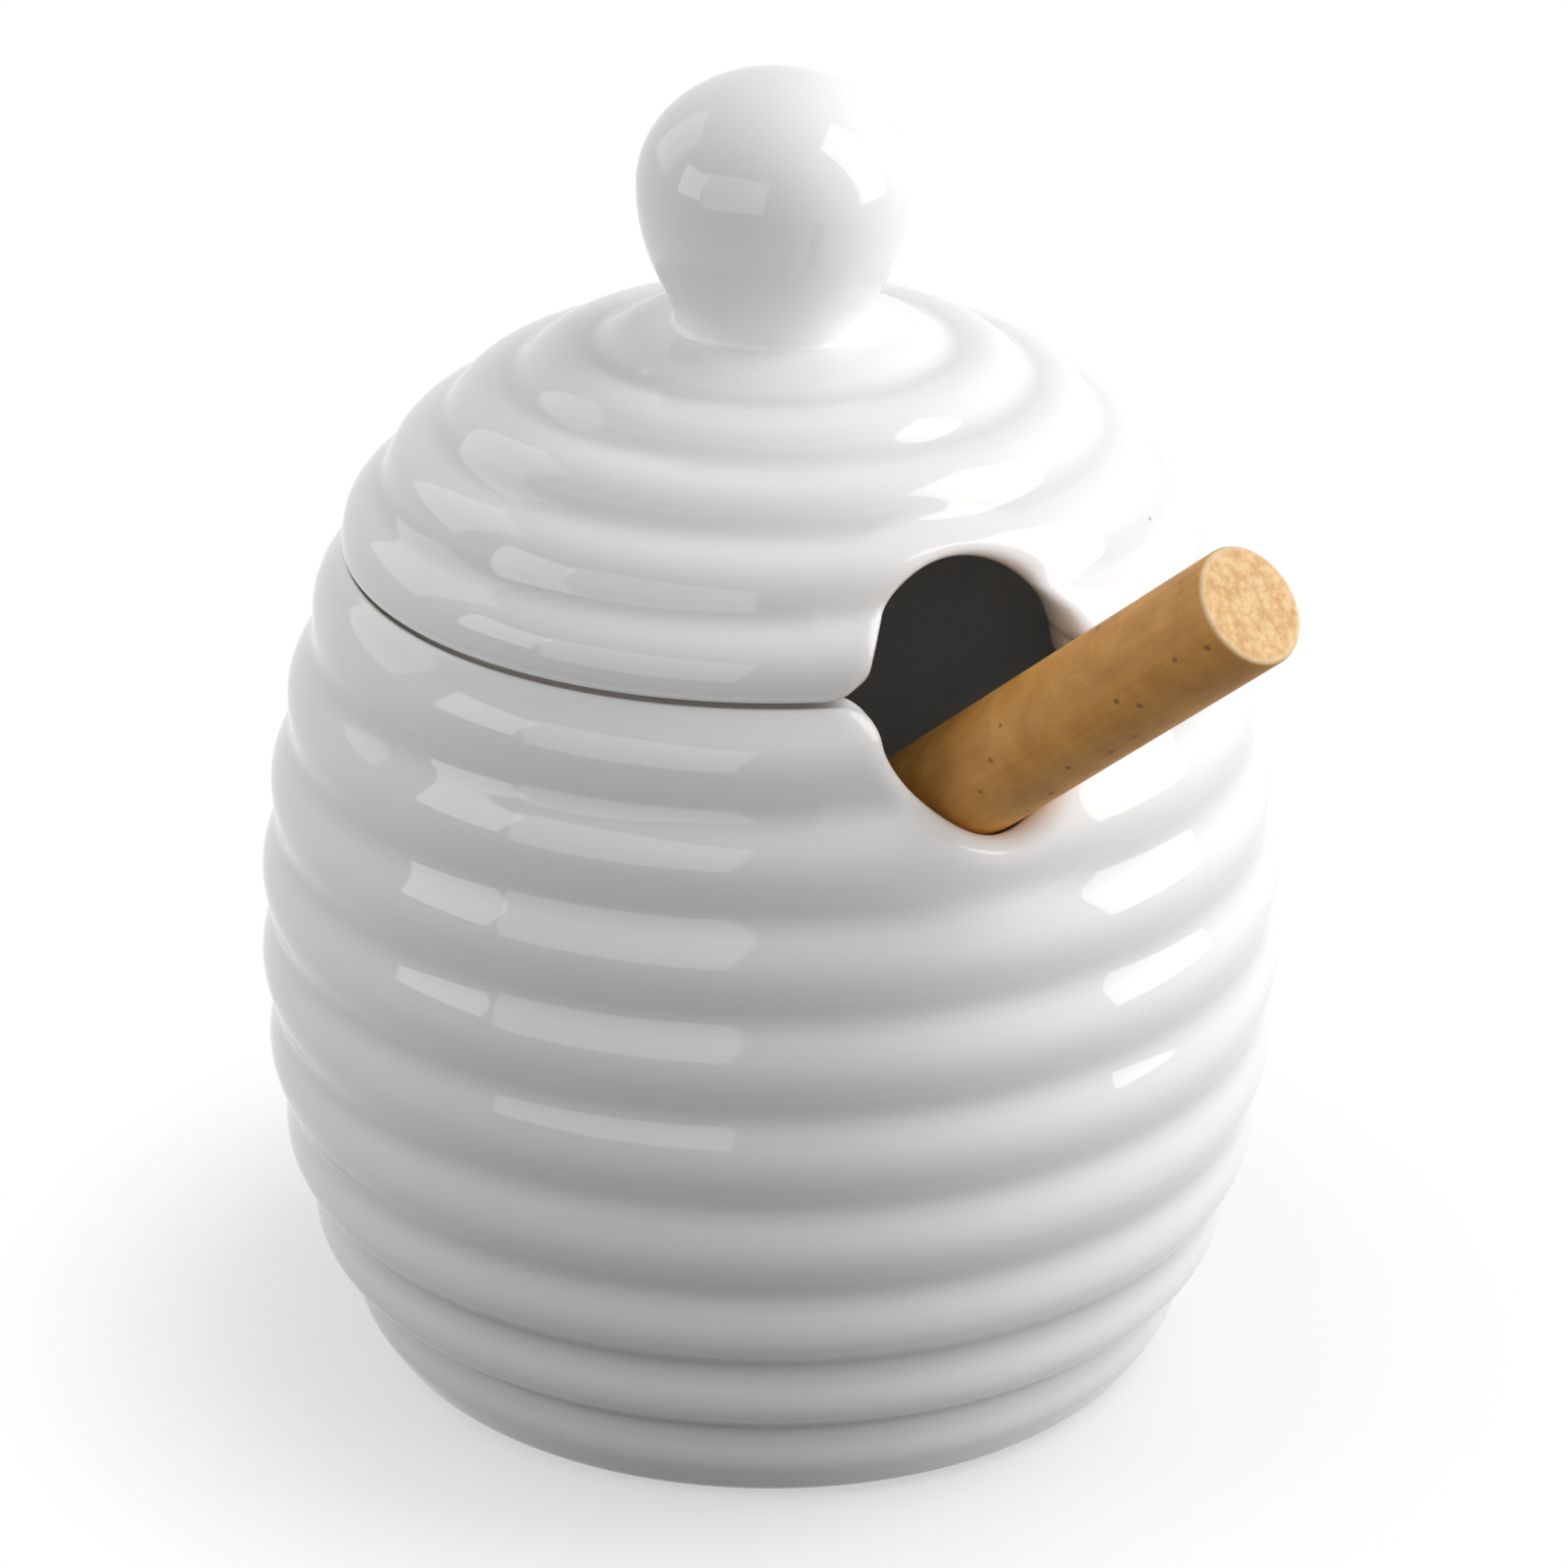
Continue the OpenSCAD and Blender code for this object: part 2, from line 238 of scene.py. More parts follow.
def rim_path(reach, way, outer_r):
    """The whole edge at the seam, once round the pot: the opening's edge, then the rim's circle.

    Returns for each column its angle at the outer wall, its height, the direction into the wall, how far
    it belongs to the opening (1) or to the rim (0), and the angle at which it meets the plain wall.
    """
    x, z, into = opening_half(reach, way)
    angle = np.arcsin(x / outer_r(z))
    walked = np.concatenate([[0], np.cumsum(np.hypot(np.diff(x), np.diff(z)))])
    rim = np.linspace(angle[-1], np.pi, RIM_POINTS)[1:]
    plain = np.concatenate([FAN_ANGLE * walked / walked[-1], np.linspace(FAN_ANGLE, np.pi, RIM_POINTS)[1:]])
    angle = np.concatenate([angle, rim])
    z = np.concatenate([z, np.full(rim.shape, SEAM_Z)])
    into = np.vstack([into, np.tile([0, way], (len(rim), 1))])
    ease = np.concatenate([x, x[-1] + RIM_R * (rim - angle[len(x) - 1])])
    belongs = 1 - smooth(HOLE_R, HOLE_R + LIP_FADE * HOLE_CORNER, ease)
    back = slice(-2, 0, -1)
    return (np.concatenate([angle, -angle[back]]), np.concatenate([z, z[back]]),
            np.vstack([into, into[back] * [-1, 1]]), np.concatenate([belongs, belongs[back]]),
            np.concatenate([plain, -plain[back]]))


def wall_points(angle, z, depth, outer_r, inner_r):
    """Points inside a wall: depth is 0 on its outer face and 1 on its inner face.

    Near the opening the wall is cut straight through along Y, so a point there keeps its x through the
    wall, and elsewhere it keeps its angle.
    """
    outer = outer_r(z)
    radius = mix(outer, inner_r(z), depth)
    straight = np.arcsin(np.clip(outer * np.sin(angle) / radius, -1, 1))
    angle = mix(angle, straight, 1 - smooth(STRAIGHT_TO, RADIAL_FROM, np.abs(angle)))
    return np.stack([radius * np.sin(angle), -radius * np.cos(angle),
                     np.broadcast_to(z, radius.shape)], axis=-1)


def inset_edge(path, inset, outer_r):
    """The edge moved into the wall by an inset: each column's angle and height."""
    angle, z, into = path[:3]
    across = outer_r(z) * np.cos(np.where(np.abs(angle) < INSET_SIDE, angle, 0))
    return angle + inset * into[:, 0] / across, z + inset * into[:, 1]


def edge_rings(path, section, outer_r, inner_r, low, high):
    """Rings over an edge: section[k] gives, per column, the depth in the wall and the distance into it."""
    depth, inset = section[..., 0], section[..., 1]
    return wall_points(*inset_edge(path, inset, outer_r), depth,
                       lambda h: outer_r(np.clip(h, low, high)), lambda h: inner_r(np.clip(h, low, high)))


def fan_rings(path, plain_z, inset, depth, share, outer_r, inner_r):
    """Rings between a level circle on the plain wall (share 0) and the start of the edge (share 1)."""
    end_angle, end_z = inset_edge(path, inset, outer_r)
    share = share[:, None]
    rings_z = mix(plain_z, end_z, share)
    return wall_points(mix(path[4], end_angle, share), rings_z, np.full(rings_z.shape, depth),
                       outer_r, inner_r)


def round_section(belongs, count, seat_round, slot=0.0, hollow=0.0):
    """An edge's section from the outer face to the inner: a lip at the opening, and a flat seat with
    rounded edges on the rim.

    The seat is sine and cosine to one power, which is a rounded box. Its outer half is set back by a slot,
    and further by a hollow. The lip is a quarter ellipse inside, and outside a curve that leaves the wall
    as slowly as a cubic does.
    """
    a = np.linspace(0, np.pi, count)[:, None]
    outside = a < np.pi / 2
    turn = np.sign(np.cos(a)) * np.abs(np.cos(a)) ** SEAT_POWER
    seat_depth = 0.5 * (1 - turn)
    set_back = slot + hollow * smooth(*HOLLOW_START, seat_depth)
    set_back = set_back * (1 - smooth(*SET_BACK_END, seat_depth))
    edge = 1 - np.abs(np.sin(a)) ** SEAT_POWER
    seat = np.stack([seat_depth, set_back + (seat_round - set_back) * edge], axis=-1)
    lip_depth = np.where(outside, LIP_TOP * (1 - np.abs(np.cos(a))) ** 1.5,
                         LIP_TOP - (1 - LIP_TOP) * np.cos(a))
    lip = np.stack([lip_depth, np.where(outside, LIP_OUT, LIP_IN) * (1 - np.sin(a))], axis=-1)
    return mix(seat, lip, belongs[None, :, None])


def pot_skin():
    """The pot: foot ring, ribbed wall, rim with its notch, plain inside and floor."""
    heights = np.linspace(0, SEAM_Z, 1800)
    line, share = ribbed_line(np.stack([pot_over_ribs(heights), heights], axis=-1), POT_RIBS, POT_RIB_DEPTH,
                              deeper=FOOT_GROOVE, plain_start=True)
    outer_r = lambda z: np.interp(z, line[:, 1], line[:, 0])
    pool_shade_at = lambda z: np.interp(z, line[:, 1], share)

    def inner_r(z):
        short = np.clip(FLOOR_Z + FLOOR_ROUND - z, 0, FLOOR_ROUND)
        return (pot_over_ribs(np.clip(z, 0, SEAM_Z)) - POT_WALL - FLOOR_ROUND
                + np.sqrt(FLOOR_ROUND ** 2 - short ** 2))

    path = rim_path(SILL_DROP, -1, outer_r)
    belongs, plain = path[3:]
    ring_r = FOOT_R - POT_RIB_DEPTH - FOOT_RING
    lean = math.atan(float(outer_r(2.0) - outer_r(1.0)))
    wall_low = FOOT_ROUND * (1 - math.sin(lean))
    edge_r = float(outer_r(wall_low)) - FOOT_ROUND * math.cos(lean)
    foot = np.vstack([
        np.stack([np.linspace(2, ring_r - 1, 8), np.full(8, FOOT_RECESS)], axis=-1),
        arc((ring_r - 1, FOOT_RECESS - RECESS_EDGE), RECESS_EDGE, 90, 0, 5)[1:],
        arc((ring_r + 0.3, RING_EDGE), RING_EDGE, 180, 270, 5),
        arc((edge_r, FOOT_ROUND), FOOT_ROUND, 270, 360 - math.degrees(lean), 12),
    ])
    plain_z = SILL_Z - LIP_OUT - FAN_BELOW
    wall_z = np.linspace(wall_low + 0.4, plain_z, WALL_RINGS)
    wall = np.stack([outer_r(wall_z), wall_z], axis=-1)
    inset, inner_inset = mix(RIM_ROUND, LIP_OUT, belongs), mix(RIM_ROUND, LIP_IN, belongs)
    fan = fan_rings(path, plain_z, inset, 0.0, np.linspace(0, 1, FAN_RINGS)[1:-1], outer_r, inner_r)
    section = round_section(belongs, EDGE_RINGS, RIM_ROUND, SEAM_SLOT, SEAM_HOLLOW)
    edge = edge_rings(path, section, outer_r, inner_r, 0, SEAM_Z)
    inner_fan = fan_rings(path, plain_z, inner_inset, 1.0, np.linspace(1, 0, 16)[1:], outer_r, inner_r)
    down = FLOOR_Z + (plain_z - FLOOR_Z) * np.linspace(1, 0, 30)[1:] ** 1.5
    inside = np.stack([inner_r(down), down], axis=-1)
    floor = np.stack([np.linspace(float(inner_r(FLOOR_Z)), 2, 10)[1:], np.full(9, FLOOR_Z)], axis=-1)
    outside_low = level_rings(np.vstack([foot, wall]), plain)
    inside_low = level_rings(np.vstack([inside, floor]), plain)
    rings = np.concatenate([outside_low, fan, edge, inner_fan, inside_low])
    outside = len(foot) + len(wall) + len(fan)
    # How much glaze pools in each groove, with painted shade there, fading out at the opening's lip; 1 on the
    # bare seat
    pool_shade_and_seat_values = np.zeros(rings.shape[:2])
    pool_shade_and_seat_values[len(foot):outside] = pool_shade_at(rings[len(foot):outside, :, 2])
    pool_shade_and_seat_values[outside - len(fan):outside] *= 1 - belongs * smooth(0.4, 1, np.linspace(0, 1, len(fan)))[:, None]
    pool_shade_and_seat_values[outside + GLAZED_RINGS:outside + len(edge) - GLAZED_RINGS] = 1 - belongs
    return skin("pot_skin", rings, pool_shade_and_seat_values=pool_shade_and_seat_values)


def lid_line():
    """The lid's side line over its ribs, from the edge to the knob's foot."""
    top = math.acos((KNOB_FOOT_R / RIM_R) ** (LID_BULGE / 2))
    return dome_line(RIM_R, LID_H, np.linspace(0, top, 1600))


CROWN_Z = float(lid_line()[-1, 1])


def lid_skin():
    """The lid: plain inside, flange, seat, edge with its arch, and the ribbed dome up to the crown."""
    line, share = ribbed_line(lid_line(), LID_RIBS, LID_RIB_DEPTH, plain_end=True)
    outer_r = lambda z: np.interp(z, line[:, 1], line[:, 0])
    pool_shade_at = lambda r: np.interp(r, line[::-1, 0], share[::-1])
    dome = dome_line(RIM_R - LID_WALL, LID_H - LID_WALL, np.linspace(0, np.pi / 2, 600))
    inner_r = lambda z: np.minimum(np.interp(z, dome[:, 1], dome[:, 0]), FLANGE_IN_R)

    path = rim_path(HOLE_RISE, 1, outer_r)
    belongs, plain = path[3:]
    columns = len(plain)
    plain_z = SEAM_Z + HOLE_RISE + LIP_OUT + FAN_ABOVE
    edge_r = float(outer_r(SEAM_Z))
    wide = edge_r - FLANGE_IN_R

    # The section from the inner face to the outer: the flange's inside, its rounded end, its outside,
    # a small hollow corner, the flat seat and the rounded edge
    deep = lambda radius: (edge_r - radius) / wide
    straight = FLANGE_H - FLANGE_T / 2
    turn = np.radians(np.linspace(15, 90, 6))
    end = arc((0, 0), FLANGE_T / 2, 180, 360, 11)
    seat = np.vstack([
        [[1.0, LIP_IN], [1.0, 0.0], [1.0, -0.5 * straight]],
        np.stack([deep(FLANGE_IN_R + FLANGE_T / 2 + end[:, 0]), -straight + end[:, 1]], axis=-1),
        [[deep(FLANGE_R), -0.4 * FLANGE_H], [deep(FLANGE_R), -0.5], [deep(FLANGE_R + 0.5), 0.0]],
        np.stack([np.linspace(deep(FLANGE_R + 1.2), deep(edge_r - LID_ROUND), 5), np.zeros(5)], axis=-1),
        np.stack([(1 - np.sin(turn)) * LID_ROUND / wide, (1 - np.cos(turn)) * LID_ROUND], axis=-1),
    ])
    count = len(seat)
    lip = round_section(np.ones(columns), count, LID_ROUND)[::-1]
    section = mix(np.broadcast_to(seat[:, None], (count, columns, 2)), lip, belongs[None, :, None])

    inside_a = np.linspace(np.pi / 2 - 0.04, 0, 200)
    inside_line = dome_line(RIM_R - LID_WALL, LID_H - LID_WALL, inside_a)
    inside_line = inside_line[inside_line[:, 1] > plain_z][::4]
    inset = mix(LID_ROUND, LIP_OUT, belongs)
    inner_inset = np.full(columns, LIP_IN)
    inner_fan = fan_rings(path, plain_z, inner_inset, 1.0, np.linspace(0, 1, 20)[:-1], outer_r, inner_r)
    edge = edge_rings(path, section, outer_r, inner_r, SEAM_Z, CROWN_Z)
    fan = fan_rings(path, plain_z, inset, 0.0, np.linspace(1, 0, FAN_RINGS)[1:-1], outer_r, inner_r)
    above = line[line[:, 1] >= plain_z][::7]
    crown = np.stack([np.linspace(KNOB_FOOT_R, 1, 6)[1:], np.full(5, CROWN_Z)], axis=-1)
    rings = np.concatenate([level_rings(inside_line, plain), inner_fan, edge, fan,
                            level_rings(np.vstack([above, crown]), plain)])
    start = len(inside_line) + len(inner_fan) + len(edge)
    stop = start + len(fan) + len(above)
    # How much glaze pools in each groove, with painted shade there, fading out at the opening's lip
    pool_shade_and_seat_values = np.zeros(rings.shape[:2])
    pool_shade_and_seat_values[start:stop] = pool_shade_at(np.hypot(rings[start:stop, :, 0], rings[start:stop, :, 1]))
    pool_shade_and_seat_values[start:start + len(fan)] *= 1 - belongs * smooth(0.4, 1, np.linspace(1, 0, len(fan)))[:, None]
    return skin("lid_skin", rings, pool_shade_and_seat_values=pool_shade_and_seat_values)


def knob_skin():
    """The knob: an ellipse above its widest place, a longer one below that blends into a short neck, and a
    hollow arc at the neck's foot that runs out on the lid. Its root lies a little inside the lid.

    The blend is the smooth greater of two radii: half their sum plus half the root of their squared
    difference and a squared width.
    """
    top = np.linspace(0, np.pi / 2 - 0.03, 60)
    upper = np.stack([KNOB_R * np.cos(top), CROWN_Z + KNOB_MID + KNOB_TOP * np.sin(top)], axis=-1)
    height = np.linspace(KNOB_FILLET, KNOB_MID, 70)[:-1]
    egg_r = KNOB_R * np.sqrt(1 - ((height - KNOB_MID) / KNOB_LOW) ** 2)
    lower_r = (egg_r + KNOB_FOOT_R + np.hypot(egg_r - KNOB_FOOT_R, KNOB_BLEND)) / 2
    lower_r -= (lower_r[-1] - KNOB_R) * smooth(0, KNOB_MID, height)
    lower = np.stack([lower_r, CROWN_Z + height], axis=-1)
    fillet = arc((lower_r[0] + KNOB_FILLET, CROWN_Z + KNOB_FILLET), KNOB_FILLET, 250, 180, 8)[:-1]
    root = np.stack([np.linspace(1, fillet[0, 0], 6), np.full(6, fillet[0, 1] - 0.8)], axis=-1)
    return skin("knob_skin", turned(np.vstack([root, fillet, lower, upper]), 128))


def dipper_place():
    """The dipper's frame as a 4 by 4 matrix in millimetres: Z runs out along the handle."""
    rise, run = math.sin(DIPPER_TILT), math.cos(DIPPER_TILT)
    side, front = math.sin(DIPPER_TURN), math.cos(DIPPER_TURN)
    out = np.array([run * side, -run * front, rise])
    up = np.array([-rise * side, rise * front, run])
    across = np.cross(up, out)
    aside = np.array([front, side, 0])
    sill_y = -(float(pot_over_ribs(np.array(SILL_Z))) - POT_WALL / 2)
    place = np.eye(4)
    place[:3, 0], place[:3, 1], place[:3, 2] = -up, -across, out
    place[:3, 3] = np.array([0, sill_y, SILL_Z]) + (HANDLE_R + SILL_GAP) * up + DIPPER_SIDE * aside
    return place


def handle_skin(place):
    """The handle: tenon, shoulder, straight dowel and a softened end."""
    shoulder, bevel_z = HEAD_L - DIPPER_IN, DIPPER_OUT - HANDLE_BEVEL
    profile = np.vstack([
        [[1.0, shoulder - TENON_L], [TENON_R, shoulder - TENON_L], [TENON_R, shoulder]],
        np.stack([np.linspace(TENON_R, HANDLE_R, 4)[1:], np.full(3, shoulder)], axis=-1),
        np.stack([np.full(40, HANDLE_R), np.linspace(shoulder + 0.3, bevel_z - 0.3, 40)], axis=-1),
        arc((HANDLE_R - HANDLE_BEVEL, bevel_z), HANDLE_BEVEL, 0, 90, 7),
        np.stack([np.linspace(HANDLE_R - HANDLE_BEVEL, 0.4, 12)[1:], np.full(11, DIPPER_OUT)], axis=-1),
    ])
    return skin("handle_skin", turned(profile, 96), place)


def head_skin(place):
    """The head: round-edged discs on a core, under a barrel-shaped outline, with the tenon's bore."""
    sag = HEAD_R - HEAD_END_R
    barrel = (HEAD_L ** 2 / 4 + sag ** 2) / (2 * sag)
    outline = lambda z: HEAD_R - barrel + np.sqrt(barrel ** 2 - (z - HEAD_L / 2) ** 2)
    pitch = HEAD_L / (HEAD_DISCS - 1 + DISC_SHARE)
    wide = DISC_SHARE * pitch
    z = np.linspace(0, HEAD_L, 420)
    across = np.abs(((z + (pitch - wide) / 2) % pitch) - pitch / 2) / (wide / 2)
    shoulder = np.clip(1 - np.clip(across, 0, 1) ** 6, 0, 1) ** 0.5
    radius = HEAD_CORE_R + (outline(z) - HEAD_CORE_R) * shoulder
    bore = HEAD_L - TENON_L - GLUE_GAP
    wall = TENON_R + GLUE_GAP
    profile = np.vstack([
        np.stack([np.linspace(0.5, HEAD_CORE_R, 8)[:-1], np.zeros(7)], axis=-1),
        np.stack([radius, z], axis=-1),
        [[5.0, HEAD_L], [wall, HEAD_L], [wall, bore], [1.0, bore]],
    ])
    profile[:, 1] -= DIPPER_IN
    return skin("head_skin", turned(profile, 128), place)


def add(tree, kind, inputs=None, stops=(), **properties):
    """Adds a node with its properties. inputs gives its sockets a value or another node's output, and
    stops are (place, hex colour) pairs for a colour ramp."""
    node = tree.nodes.new(kind)
    for key, value in properties.items():
        setattr(node, key, value)
    for key, value in (inputs or {}).items():
        if isinstance(value, bpy.types.NodeSocket):
            tree.links.new(value, node.inputs[key])
        else:
            node.inputs[key].default_value = value
    for _ in range(len(stops) - 2):
        node.color_ramp.elements.new(0.5)
    for element, (place, code) in zip(node.color_ramp.elements if stops else (), stops):
        element.position, element.color = place, hex_rgba(code)
    return node


def node_tree(owner):
    """The emptied node tree of a new material or world."""
    owner.use_nodes = True
    owner.node_tree.nodes.clear()
    return owner.node_tree


def porcelain():
    """Slip-cast porcelain under a clear gloss glaze: plain white, a touch greyer in the grooves, where the
    glaze pools and as painted shade, a faintly uneven surface, a few iron specks, and bare matt clay on
    the foot ring and on the rim where the lid rests. The mesh attribute that it reads is up to 0.5 in the
    grooves and 1 on that seat."""
    made = bpy.data.materials.new("glazed_porcelain")
    tree = node_tree(made)
    place = add(tree, "ShaderNodeTexCoord").outputs["Object"]
    pool_shade_and_seat = add(tree, "ShaderNodeAttribute", attribute_name="pool_shade_and_seat").outputs["Fac"]
    # Greyer where the glaze pools in the grooves, and painted shade there
    glaze = add(tree, "ShaderNodeValToRGB", {"Fac": pool_shade_and_seat},
                [(0.0, "#f4f4f4"), (0.28, "#f1f1f1"), (0.5, "#e6e6e6")])
    # Specks up to 0.35 mm across, in the middles of about one in seven cells of 9 mm. They show only where
    # such a middle lies on the surface, so they are few
    speck_mm, cell_mm, rare_from = 0.35, 9, 0.86
    cells = add(tree, "ShaderNodeTexVoronoi", {
        "Vector": place, "Scale": 1 / (cell_mm * MM), "Randomness": 1.0})
    small = add(tree, "ShaderNodeMath", {0: cells.outputs["Distance"], 1: speck_mm / 2 / cell_mm},
                operation="LESS_THAN")
    split = add(tree, "ShaderNodeSeparateColor", {"Color": cells.outputs["Color"]})
    rare = add(tree, "ShaderNodeMath", {0: split.outputs["Red"], 1: rare_from}, operation="GREATER_THAN")
    speck = add(tree, "ShaderNodeMath", {0: small.outputs[0], 1: rare.outputs[0]}, operation="MULTIPLY")
    specked = add(tree, "ShaderNodeMix", {"Factor": speck.outputs[0], "A": glaze.outputs["Color"],
                                          "B": hex_rgba("#8d857a")}, data_type="RGBA")
    # The bare ring is the lowest 0.5 mm
    height = add(tree, "ShaderNodeSeparateXYZ", {"Vector": place}).outputs["Z"]
    foot = add(tree, "ShaderNodeMapRange", {"Value": height, "From Min": 0.35 * MM, "From Max": 0.6 * MM,
                                            "To Min": 1.0, "To Max": 0.0}, interpolation_type="SMOOTHSTEP")
    seat = add(tree, "ShaderNodeMapRange", {"Value": pool_shade_and_seat, "From Min": 0.6}, interpolation_type="SMOOTHSTEP")
    bare = add(tree, "ShaderNodeMath", {0: foot.outputs[0], 1: seat.outputs[0]},
               operation="MAXIMUM").outputs[0]
    clay = add(tree, "ShaderNodeMix", {"Factor": bare, "A": specked.outputs["Result"],
                                       "B": hex_rgba("#cbc6bf")}, data_type="RGBA")
    # From gloss glaze to matt clay
    rough = add(tree, "ShaderNodeMapRange", {"Value": bare, "To Min": 0.04, "To Max": 0.8})
    # The glaze flows into waves some 7 mm long and hundredths of a millimetre high
    wave = add(tree, "ShaderNodeTexNoise", {"Vector": place, "Scale": 1 / (7 * MM), "Detail": 1.0})
    bump = add(tree, "ShaderNodeBump", {
        "Height": wave.outputs["Fac"], "Strength": 1.0, "Distance": 0.03 * MM})
    shader = add(tree, "ShaderNodeBsdfPrincipled", {
        "Base Color": clay.outputs["Result"], "Roughness": rough.outputs[0],
        "Normal": bump.outputs["Normal"], "IOR": 1.52})
    add(tree, "ShaderNodeOutputMaterial", {"Surface": shader.outputs["BSDF"]})
    return made


def beech(name, place, light, dark, end_light, end_dark):
    """Turned beech, oiled: an even warm side with soft patches and faint grain along the piece, small dark
    pores, and a paler mottled end grain with a still paler ring at its edge. Sizes: patches 5 mm, grain 0.6
    by
    12 mm, pores about 0.6 mm in cells of 3 mm, end mottle 1 mm."""
    made = bpy.data.materials.new(name)
    tree = node_tree(made)
    local = add(tree, "ShaderNodeMapping", {
        "Vector": add(tree, "ShaderNodeTexCoord").outputs["Object"],
        "Location": (place[:3, 3] * MM).tolist(),
        "Rotation": Matrix(place[:3, :3].tolist()).to_euler()}, vector_type="TEXTURE").outputs["Vector"]
    along = add(tree, "ShaderNodeMapping", {
        "Vector": local, "Scale": (1 / (0.6 * MM), 1 / (0.6 * MM), 1 / (12 * MM))})
    grain = add(tree, "ShaderNodeTexNoise", {"Vector": along.outputs["Vector"], "Scale": 1.0, "Detail": 3.0})
    patches = add(tree, "ShaderNodeTexNoise", {"Vector": local, "Scale": 1 / (5 * MM), "Detail": 3.0,
                                               "Roughness": 0.6})
    tone = add(tree, "ShaderNodeMix", {
        "A": patches.outputs["Fac"], "B": grain.outputs["Fac"], "Factor": 0.25})
    side = add(tree, "ShaderNodeValToRGB", {"Fac": tone.outputs["Result"]}, [(0.36, dark), (0.64, light)])
    # Pores: the cells' middles, with ragged edges
    ragged = add(tree, "ShaderNodeTexNoise", {"Vector": local, "Scale": 1 / (0.35 * MM), "Detail": 1.0})
    wander = add(tree, "ShaderNodeVectorMath", {0: ragged.outputs["Color"], "Scale": 0.5 * MM},
                 operation="SCALE")
    moved = add(tree, "ShaderNodeVectorMath", {0: local, 1: wander.outputs["Vector"]}, operation="ADD")
    cells = add(tree, "ShaderNodeTexVoronoi", {"Vector": moved.outputs["Vector"], "Scale": 1 / (3 * MM)})
    pore = add(tree, "ShaderNodeMapRange", {
        "Value": cells.outputs["Distance"], "From Min": 0.07, "From Max": 0.14,
        "To Min": 0.8, "To Max": 0.0}, interpolation_type="SMOOTHSTEP")
    pored = add(tree, "ShaderNodeMix", {"Factor": pore.outputs[0], "A": side.outputs["Color"],
                                        "B": hex_rgba("#6b421b")}, data_type="RGBA")
    # The end grain, and a still paler ring at its edge from 4.9 mm to 5.6 mm off the axis
    mottle = add(tree, "ShaderNodeTexNoise", {"Vector": local, "Scale": 1 / (1.0 * MM), "Detail": 3.0,
                                              "Roughness": 0.65})
    end = add(tree, "ShaderNodeValToRGB", {"Fac": mottle.outputs["Fac"]},
              [(0.38, end_dark), (0.6, end_light)])
    flat = add(tree, "ShaderNodeVectorMath", {0: local, 1: (1, 1, 0)}, operation="MULTIPLY")
    radius = add(tree, "ShaderNodeVectorMath", {0: flat.outputs["Vector"]}, operation="LENGTH")
    edge = add(tree, "ShaderNodeMapRange", {"Value": radius.outputs["Value"], "From Min": 4.9 * MM,
                                            "From Max": 5.6 * MM, "To Min": 0.0, "To Max": 0.6},
               interpolation_type="SMOOTHSTEP")
    pale_rim = add(tree, "ShaderNodeMix", {"Factor": edge.outputs[0], "A": end.outputs["Color"],
                                       "B": hex_rgba("#e6cfac")}, data_type="RGBA")
    # A face is end grain where it looks along the piece
    facing = add(tree, "ShaderNodeVectorMath", {
        0: add(tree, "ShaderNodeNewGeometry").outputs["True Normal"], 1: place[:3, 2].tolist()},
        operation="DOT_PRODUCT")
    square = add(tree, "ShaderNodeMath", {0: facing.outputs["Value"]}, operation="ABSOLUTE")
    is_end = add(tree, "ShaderNodeMapRange", {"Value": square.outputs[0], "From Min": 0.35, "From Max": 0.8},
                 interpolation_type="SMOOTHSTEP")
    wood = add(tree, "ShaderNodeMix", {"Factor": is_end.outputs[0], "A": pored.outputs["Result"],
                                       "B": pale_rim.outputs["Result"]}, data_type="RGBA")
    bump = add(tree, "ShaderNodeBump", {
        "Height": tone.outputs["Result"], "Strength": 0.5, "Distance": 0.1 * MM})
    shader = add(tree, "ShaderNodeBsdfPrincipled", {
        "Base Color": wood.outputs["Result"], "Normal": bump.outputs["Normal"], "Roughness": 0.6, "IOR": 1.5})
    add(tree, "ShaderNodeOutputMaterial", {"Surface": shader.outputs["BSDF"]})
    return made


def in_sight(tree):
    """1 for a ray from the camera, in a reflection or through a pane, 0 for light that falls on things."""
    path = add(tree, "ShaderNodeLightPath").outputs
    seen = path["Is Camera Ray"]
    for other in ("Is Glossy Ray", "Is Transmission Ray"):
        seen = add(tree, "ShaderNodeMath", {0: seen, 1: path[other]}, operation="MAXIMUM").outputs[0]
    return seen


